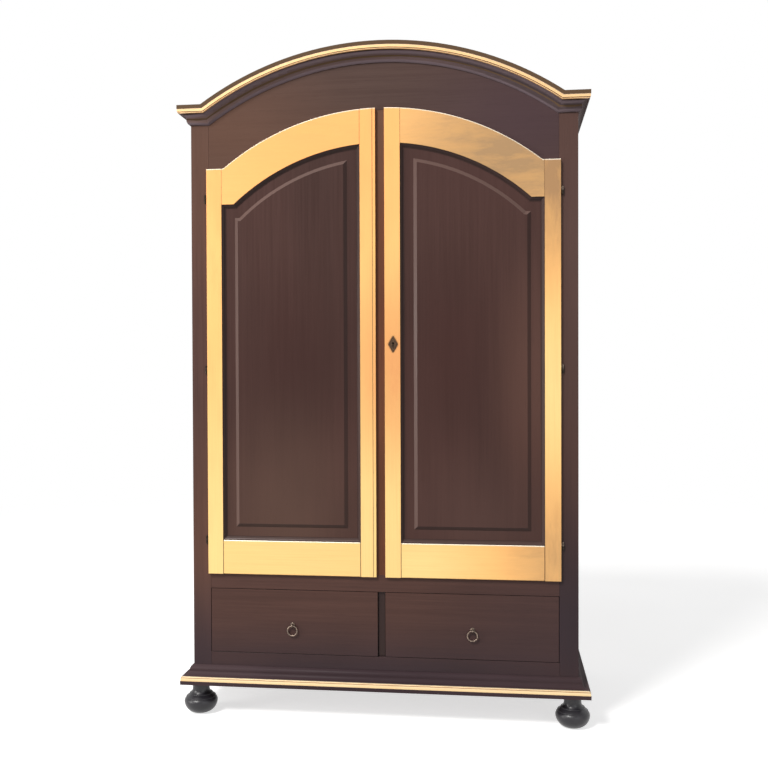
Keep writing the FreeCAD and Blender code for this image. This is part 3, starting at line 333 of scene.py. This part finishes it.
def paint(name, dark, light):
    """Thick dark paint with a low gloss on turned wood, with turning lines and dust."""
    look = Shader(name)
    lines = look.noise((6, 6, 420), rough=0.6)
    dust = look.noise((40, 40, 40), detail=4.0, rough=0.6)
    look.bump(look.plus(lines, look.times(dust, 0.6)), 0.10, 0.0005)
    return look.set(Base_Color=look.mix(look.span(dust, 0.45, 0.8, 0.0, 0.6), dark, light),
                    Roughness=look.span(dust, 0.3, 0.7, 0.32, 0.42), Specular_IOR_Level=0.42,
                    Coat_Weight=0.10, Coat_Roughness=0.25, Sheen_Weight=0.02)


# What several materials share
moulding_wood = {"dark": moulding_dark, "light": moulding_light, "rough": 0.55, "specular": 0.06,
                 "grime_and_shade": 0.4}
side_wood = {"axis": "z", "dark": stain_dark, "light": stain_light, "shift": 8.0}
inside_wood = {"dark": inside_dark, "light": inside_light, "rough": 0.55}
# Where the gilding's painted reflection lies, low on the left
low_left = ((-0.3, DOOR_PLANE, 0.50), (1.2, 0.5, 0.75))
crown_left = ((-0.25, DOOR_PLANE, 1.85), (0.8, 0.4, 0.55), 0.8, gold_deep)

# Spots of tone in the woods are partly the stain's own and partly painted reflection and shade
materials = {
    "frame_up": wood("frame_wood_upright", "z", stain_dark, stain_light, grime_and_shade=0.5, spots=[
        ((-CASE_STILE, CASE_PLANE, 1.80), (0.3, 0.3, 0.6), 0.6, lin(106, 74, 58)),
        ((-CASE_STILE, CASE_PLANE, 0.50), (0.3, 0.3, 0.5), 0.35, warm),
        # Painted shade at the foot of the left stile
        ((-CASE_STILE, CASE_PLANE, 0.14), (0.3, 0.3, 0.42), 0.85, painted_low_shade),
        ((CASE_STILE, CASE_PLANE, 1.35), (0.3, 0.3, 0.9), 0.8, lin(86, 63, 57)),
        # Painted shade low on the right stile
        ((CASE_STILE, CASE_PLANE, 0.30), (0.3, 0.3, 0.6), 0.9, painted_low_shade)]),
    "post": wood("post_wood_upright", "z", lin(90, 54, 38), lin(108, 66, 46), shift=16.0, spots=[
        ((0.0, POST_PLANE, 1.95), (0.3, 0.3, 0.5), 0.8, lin(102, 75, 58))]),
    "frame_across": wood("frame_wood_across", "x", stain_dark, stain_light, shift=2.0, grime_and_shade=0.3, spots=[
        # Painted shade along the bottom rail and low on the right
        ((0.0, CASE_PLANE, 0.10), (1.8, 0.5, 0.26), 0.95, painted_low_shade),
        ((0.5, CASE_PLANE, 0.30), (0.5, 0.5, 0.3), 0.4, painted_low_shade)]),
    # A darker copy of the frame wood: painted shade on the recessed drawer partition
    "frame_painted_shade": wood("frame_wood_painted_shade", "z", lin(46, 33, 31), lin(58, 42, 39), shift=3.0, grime_and_shade=0.6),
    "frieze": wood("frieze_wood", "x", frieze_dark, frieze_light, shift=4.0, specular=0.1, spots=[
        ((-0.5, CASE_PLANE, 1.84), (0.55, 0.5, 0.35), 0.6, lin(108, 76, 60)),
        ((0.45, CASE_PLANE, 1.85), (0.5, 0.5, 0.35), 0.75, cool)]),
    "cornice": wood("cornice_wood", "x", shift=6.0, **moulding_wood, spots=[
        ((-0.55, MOULDING_PLANE, 1.95), (0.55, 0.4, 0.5), 0.8, lin(122, 98, 92)),
        ((0.50, MOULDING_PLANE, 1.97), (0.55, 0.4, 0.5), 0.9, lin(76, 64, 66))], faces=[
        # Painted light on faces turned partly down, painted shade on faces turned steeply down and on faces
        # turned to the front
        (DOWNWARD, 0.35, 0.70, lin(128, 111, 116), lin(140, 122, 128)),
        (DOWNWARD, 0.86, 0.97, lin(60, 44, 36), lin(68, 50, 40)),
        (FORWARD, 0.985, 0.999, lin(94, 74, 55), lin(102, 80, 61))]),
    "moulding_across": wood("moulding_wood_across", "x", shift=6.0, **moulding_wood, spots=[
        # Painted shade along the base moulding
        ((0.0, MOULDING_PLANE, 0.13), (2.4, 0.6, 0.3), 1.0, moulding_painted_low_shade)]),
    "moulding_back": wood("moulding_wood_return", "y", shift=7.0, **moulding_wood, spots=[
        # Painted shade along the base moulding's returns
        ((0.0, 0.0, 0.13), (2.4, 2.4, 0.3), 1.0, moulding_painted_low_shade)]),
    "side_left": wood("side_wood_left", **side_wood, faces=[
        (RIGHTWARD, 0.90, 0.99, inside_dark, inside_light)]),
    "side_right": wood("side_wood_right", **side_wood, faces=[
        (LEFTWARD, 0.90, 0.99, inside_dark, inside_light)]),
    "carcass_across": wood("carcass_wood_across", "x", stain_dark, stain_light, shift=9.0),
    # The panel's raised parts get a painted highlight above and to the left and a painted shade below and
    # to the right
    "panel": wood("panel_wood_upright", "z", panel_dark, panel_light, rough=0.40, shift=11.0, grime_and_shade=0.5,
                  border_light_and_shade=0.33, spots=[
        ((-0.27, DOOR_PLANE, 1.12), (0.26, 0.3, 0.40), 0.6, lin(58, 32, 28)),
        ((0.22, DOOR_PLANE, 1.15), (0.26, 0.3, 0.45), 0.6, lin(58, 31, 27)),
        ((-0.30, DOOR_PLANE, 0.62), (0.34, 0.3, 0.50), 0.75, lin(92, 68, 58)),
        ((0.46, DOOR_PLANE, 1.05), (0.16, 0.3, 0.50), 0.8, lin(96, 66, 57)),
        ((0.28, DOOR_PLANE, 1.70), (0.40, 0.3, 0.30), 0.4, lin(80, 52, 48)),
        ((0.30, DOOR_PLANE, 0.58), (0.32, 0.3, 0.35), 0.45, lin(84, 61, 55))]),
    # The panel moulding gets a faint painted highlight above and to the left and a painted shade below and
    # to the right
    "panel_trim": wood("panel_moulding_wood", "z", lin(50, 33, 30), lin(62, 42, 38), rough=0.36, shift=12.0,
                       grime_and_shade=0.5, border_light_and_shade=0.1),
    "inside_up": wood("inside_wood_upright", "z", shift=13.0, **inside_wood),
    "inside_across": wood("inside_wood_across", "x", shift=14.0, **inside_wood),
    "inside_back": wood("inside_wood_depth", "y", shift=15.0, **inside_wood),
    # Glow here is a painted reflection of pale gold, low on the left
    "gilt_up": gilding("gilt_upright", "z", gold, mottle=0.10, glow=[(*low_left, 0.9, gold_pale)], spots=[
        crown_left,
        ((0.04, DOOR_PLANE, 1.10), (0.2, 0.3, 0.42), 0.8, lin(226, 156, 96))]),
    "gilt_across": gilding("gilt_across", "x", gold, mottle=0.12, shift=3.0,
                           glow=[(*low_left, 0.6, gold_pale)], spots=[crown_left]),
    # Glow here is a painted reflection of pale gold on the hinge stile
    "gilt_worn_up": gilding("gilt_worn_upright", "z", gold, shift=5.0, glow=[
        ((HINGE_STILE, DOOR_PLANE, 1.02), (0.2, 0.3, 0.42), 0.9, gold_pale)], spots=[
        ((HINGE_STILE, DOOR_PLANE, 1.72), (0.2, 0.3, 0.50), 1.0, lin(168, 129, 88)),
        ((HINGE_STILE, DOOR_PLANE, 0.48), (0.2, 0.3, 0.36), 0.55, gold_brown)]),
    # Glow here is a painted reflection of pale gold on the bottom rail
    "gilt_worn_across": gilding("gilt_worn_across", "x", gold, shift=8.0, glow=[
        ((0.12, DOOR_PLANE, 0.48), (0.3, 0.3, 0.2), 0.9, gold_pale)], spots=[
        ((0.40, DOOR_PLANE, 1.74), (0.60, 0.3, 0.44), 1.0, gold_brown),
        ((0.52, DOOR_PLANE, 0.5), (0.2, 0.3, 0.2), 0.6, gold_brown)]),
    "gilt_strip": gilding("gilt_strip", "x", lin(250, 205, 148), mottle=0.15, shift=12.0, grime_and_shade=0.5,
                          joints=0.0, painted_edge_highlight=0.4),
    "base_strip": gilding("gilt_base_strip", "x", lin(252, 222, 170), mottle=0.15, shift=13.0, grime_and_shade=0.1,
                          joints=0.0, painted_edge_highlight=0.3),
    "foot": paint("foot_paint", lin(30, 28, 33), lin(44, 41, 46)),
    "dark_metal": metal("aged_iron", lin(60, 50, 42), lin(34, 28, 25), 0.34),
    # A paler iron: a painted glint on the right door's hinges
    "glint_metal": metal("iron_painted_glint", lin(128, 112, 100), lin(58, 48, 42), 0.30),
    "brass": metal("aged_brass", lin(196, 158, 92), lin(120, 88, 48), 0.28),
    "pewter": metal("aged_pewter", lin(150, 132, 118), lin(84, 74, 68), 0.28, 320.0),
    "plate": metal("aged_plate", lin(96, 74, 56), lin(56, 44, 36), 0.36, 320.0),
}

# Which material each node gets
finishes = {
    "frame_up": ["stile_left", "stile_right"],
    "post": ["centre_post"],
    # The drawer partition takes the darker wood, as painted shade
    "frame_painted_shade": ["drawer_partition"],
    "frame_across": ["mid_rail", "bottom_rail", "left_drawer_front", "right_drawer_front"],
    "frieze": ["frieze_board"],
    "cornice": ["cornice_arch", "cornice_flats"],
    "moulding_across": ["base_moulding_front"],
    "moulding_back": ["cornice_return_left", "cornice_return_right", "base_moulding_left",
                      "base_moulding_right"],
    "side_left": ["side_left"],
    "side_right": ["side_right"],
    "carcass_across": ["base_board", "roof_board"],
    "panel": ["left_door_panel", "right_door_panel"],
    "inside_up": ["back_panel", "centre_partition"],
    "inside_across": ["deck_board", "shelf_lower", "shelf_upper", "hat_shelf", "left_drawer_bottom",
                      "right_drawer_bottom"],
    "inside_back": ["drawer_runners", "shelf_battens", "left_drawer_box", "right_drawer_box"],
    "gilt_up": ["left_door_hinge_stile", "left_door_closing_stile", "right_door_closing_stile"],
    "gilt_across": ["left_door_top_rail", "left_door_bottom_rail"],
    "gilt_worn_up": ["right_door_hinge_stile"],
    "gilt_worn_across": ["right_door_top_rail", "right_door_bottom_rail"],
    "gilt_strip": ["cornice_gilt_strip"],
    "base_strip": ["base_gilt_strip"],
    "foot": ["foot_front_left", "foot_front_right", "foot_rear_left", "foot_rear_right"],
    "dark_metal": ["case_hinge_leaves", "left_door_hinge_leaves", "lock_case"],
    # The right door's hinges take the paler iron, a painted glint
    "glint_metal": ["right_door_hinge_leaves"],
    "brass": ["lock_bolt", "hanging_rail", "rail_sockets"],
    "pewter": ["left_pull_eye", "right_pull_eye", "left_pull_ring", "right_pull_ring"],
    "plate": ["escutcheon"],
}
for finish, names in finishes.items():
    for name in names:
        mesh = nodes[name].data
        mesh.materials.clear()
        mesh.materials.append(materials[finish])

# Soft edges: weld each board, join its coplanar faces, then bevel it
WELD_REACH = 0.00002
FLAT_ANGLE = math.radians(0.5)
EDGE_ANGLE = math.radians(40)
BOARD_EDGE = 0.0009
GILT_EDGE = 0.0026
MOULDING_EDGE = 0.0006

edge_widths = {
    BOARD_EDGE: ["frame_up", "post", "frame_across", "frieze", "carcass_across", "inside_across",
                 "side_left", "side_right"],
    GILT_EDGE: ["gilt_up", "gilt_across", "gilt_worn_up", "gilt_worn_across"],
    MOULDING_EDGE: ["cornice", "moulding_across", "moulding_back"],
}
eased = [("centre_partition", BOARD_EDGE)]
for width, group in edge_widths.items():
    for finish in group:
        eased += [(name, width) for name in finishes[finish]]
for name, width in eased:
    board = nodes[name]
    weld = board.modifiers.new("weld", "WELD")
    weld.merge_threshold = WELD_REACH
    merge = board.modifiers.new("merge", "DECIMATE")
    merge.decimate_type = "DISSOLVE"
    merge.angle_limit = FLAT_ANGLE
    ease = board.modifiers.new("ease", "BEVEL")
    ease.width = width
    ease.segments = 2
    ease.limit_method = "ANGLE"
    ease.angle_limit = EDGE_ANGLE
    ease.harden_normals = True


# The moulding round each door panel, worked on the inside of the frame

ARCH_CENTRE = 1.0985    # height of the point that every arch of the front is struck from
PANEL_ARCH = 0.6840     # radius of the arched top of a panel's opening
ARCH_STEPS = 48
FRAME_DROP = 0.0016     # how far the moulding starts behind the frame's face
BORDER_DROP = 0.0070    # how far a panel's border lies behind its raised field
TRIM_BED = 0.0003       # how far the moulding is bedded in the panel
# (distance into the opening, share of the way down to the panel)
TRIM_LINE = [(0.0, 0.0), (0.0012, 0.02), (0.0022, 0.12), (0.0028, 0.20), (0.0052, 0.36), (0.0078, 0.62),
             (0.0092, 0.80), (0.0100, 0.84), (0.0118, 0.86), (0.0122, 1.0)]


def opening(side):
    """The outline of a panel's opening, from the foot of its closing stile round to the arch's end."""
    sign = -1 if side == "left" else 1
    hinge_edge = min(abs(corner[0]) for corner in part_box(side + "_door_hinge_stile"))
    closing_edge = max(abs(corner[0]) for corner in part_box(side + "_door_closing_stile"))
    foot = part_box(side + "_door_bottom_rail")[1][2]
    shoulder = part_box(side + "_door_top_rail")[0][2]
    outer = math.asin(math.sqrt(PANEL_ARCH ** 2 - (shoulder - ARCH_CENTRE) ** 2) / PANEL_ARCH)
    inner = math.asin(closing_edge / PANEL_ARCH)
    line = [(closing_edge, foot), (hinge_edge, foot), (hinge_edge, shoulder)]
    for step in range(ARCH_STEPS + 1):
        turn = outer + (inner - outer) * step / ARCH_STEPS
        line.append((PANEL_ARCH * math.sin(turn), ARCH_CENTRE + PANEL_ARCH * math.cos(turn)))
    return [Vector((sign * x, z)) for x, z in line]


def swept(name, outline, profile):
    """A closed run of moulding: a profile carried round an outline with mitred corners."""
    mesh = bmesh.new()
    following = outline[1:] + outline[:1]
    area = sum(here.x * after.y - after.x * here.y for here, after in zip(outline, following))
    turn = 1 if area > 0 else -1
    rings = []
    for before, here, after in zip(outline[-1:] + outline[:-1], outline, following):
        ways = ((here - before).normalized(), (after - here).normalized())
        normals = [Vector((-way.y, way.x)) * turn for way in ways]
        mitre = (normals[0] + normals[1]) / (1 + normals[0].dot(normals[1]))
        rings.append([mesh.verts.new((here.x + mitre.x * inward, depth, here.y + mitre.y * inward))
                      for inward, depth in profile])
    for ring, next_ring in zip(rings, rings[1:] + rings[:1]):
        for place in range(len(profile)):
            beside = (place + 1) % len(profile)
            mesh.faces.new((ring[place], ring[beside], next_ring[beside], next_ring[place]))
    bmesh.ops.recalc_face_normals(mesh, faces=mesh.faces)
    made = bpy.data.meshes.new(name)
    mesh.to_mesh(made)
    mesh.free()
    piece = bpy.data.objects.new(name, made)
    scene.collection.objects.link(piece)
    return piece


for side in ("left", "right"):
    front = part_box(side + "_door_hinge_stile")[0][1] + FRAME_DROP
    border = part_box(side + "_door_panel")[0][1] + BORDER_DROP + TRIM_BED
    profile = [(inward, front + (border - front) * share) for inward, share in TRIM_LINE] + [(0.0, border)]
    trim = swept(side + "_panel_moulding", opening(side), profile)
    trim.data.materials.append(materials["panel_trim"])
    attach(trim, side + "_door")


# The floor, pale round the part and melting into white further out

WHITE = (1, 1, 1, 1)
FLOOR_DARK = (0.66, 0.66, 0.66, 1)
FLOOR_LIGHT = (0.70, 0.70, 0.70, 1)
FLOOR_RADIUS = 14
FLOOR_SIDES = 96
FLOOR_GLOW = 0.64
FADE_REACH = 6.5

rim = []
for corner in range(FLOOR_SIDES):
    turn = corner * math.tau / FLOOR_SIDES
    rim.append((math.cos(turn) * FLOOR_RADIUS, math.sin(turn) * FLOOR_RADIUS, 0))
floor_mesh = bpy.data.meshes.new("floor")
floor_mesh.from_pydata(rim, [], [tuple(range(FLOOR_SIDES))])
floor = bpy.data.objects.new("floor", floor_mesh)
scene.collection.objects.link(floor)
floor.visible_diffuse = False

look = Shader("floor_pale")
cloud = look.noise((3, 3, 3), detail=5.0)
look.set(Base_Color=look.mix(look.span(cloud, 0.3, 0.7), FLOOR_DARK, FLOOR_LIGHT), Roughness=0.6,
         Specular_IOR_Level=0.2, Emission_Color=WHITE, Emission_Strength=FLOOR_GLOW)
glow = look.node("ShaderNodeEmission")
glow.inputs["Color"].default_value = WHITE
blend = look.node("ShaderNodeMixShader")
look.link(look.span(look.near((0, 0, 0), (FADE_REACH, FADE_REACH, FADE_REACH)), 0.1, 0.75), blend.inputs[0])
look.link(glow.outputs[0], blend.inputs[1])
look.link(look.surface.outputs[0], blend.inputs[2])
look.link(blend.outputs[0], look.output.inputs["Surface"])
floor_mesh.materials.append(look.material)


# The world, white where it is seen and weaker as a light

SKY_LIGHT = 0.26

world = bpy.data.worlds.new("studio")
scene.world = world
world.use_nodes = True
tree = world.node_tree
tree.nodes.clear()
path = tree.nodes.new("ShaderNodeLightPath")
seen = path.outputs["Is Camera Ray"]
for ray in ("Is Glossy Ray", "Is Transmission Ray"):
    either = tree.nodes.new("ShaderNodeMath")
    either.operation = "MAXIMUM"
    tree.links.new(seen, either.inputs[0])
    tree.links.new(path.outputs[ray], either.inputs[1])
    seen = either.outputs[0]
level = tree.nodes.new("ShaderNodeMapRange")
tree.links.new(seen, level.inputs["Value"])
level.inputs["To Min"].default_value = SKY_LIGHT
level.inputs["To Max"].default_value = 1.0
sky = tree.nodes.new("ShaderNodeBackground")
sky.inputs["Color"].default_value = WHITE
tree.links.new(level.outputs["Result"], sky.inputs["Strength"])
tree.links.new(sky.outputs[0], tree.nodes.new("ShaderNodeOutputWorld").inputs["Surface"])


# The lamps, all aimed at the middle of the part

AIM = Vector((0, 0, 1.0))


def lamp(name, place, size, power, tint):
    """A round area lamp, with its size in metres and its power in watts."""
    light = bpy.data.lights.new(name, "AREA")
    light.shape = "DISK"
    light.size = size
    light.energy = power
    light.color = tint
    made = bpy.data.objects.new(name, light)
    made.location = place
    made.rotation_mode = "QUATERNION"
    made.rotation_quaternion = (AIM - Vector(place)).to_track_quat("-Z", "Y")
    scene.collection.objects.link(made)


lamp("key", (-4.6, -7.2, 9.0), 3.0, 1180, (1.0, 0.98, 0.96))
lamp("side", (-3.4, -1.9, 1.3), 1.4, 50, (1.0, 0.98, 0.95))
lamp("fill", (2.6, -4.0, 1.6), 2.4, 22, (0.95, 0.97, 1.0))


# The photo's camera, worked out from its vertical and level lines

PHOTO_WIDTH = 768       # pixels
FOCAL_LENGTH = 950      # pixels
SENSOR_WIDTH = 36.0     # millimetres
EYE = (0.36696, -3.1735, 1.0816)
YAW = math.radians(6.9917)
PITCH = math.radians(-0.7772)
ROLL = math.radians(-0.1972)

ahead = Vector((-math.sin(YAW) * math.cos(PITCH), math.cos(YAW) * math.cos(PITCH), math.sin(PITCH)))
level_right = ahead.cross(Vector(UPWARD)).normalized()
level_up = level_right.cross(ahead)
right = math.cos(ROLL) * level_right + math.sin(ROLL) * level_up
up = math.cos(ROLL) * level_up - math.sin(ROLL) * level_right
camera = bpy.data.objects.new("camera", bpy.data.cameras.new("camera"))
camera.data.sensor_width = SENSOR_WIDTH
camera.data.lens = SENSOR_WIDTH * FOCAL_LENGTH / PHOTO_WIDTH
camera.rotation_mode = "QUATERNION"
camera.rotation_quaternion = Matrix((right, up, -ahead)).transposed().to_quaternion()
camera.location = EYE
scene.collection.objects.link(camera)
scene.camera = camera
scene.view_settings.view_transform = "Standard"
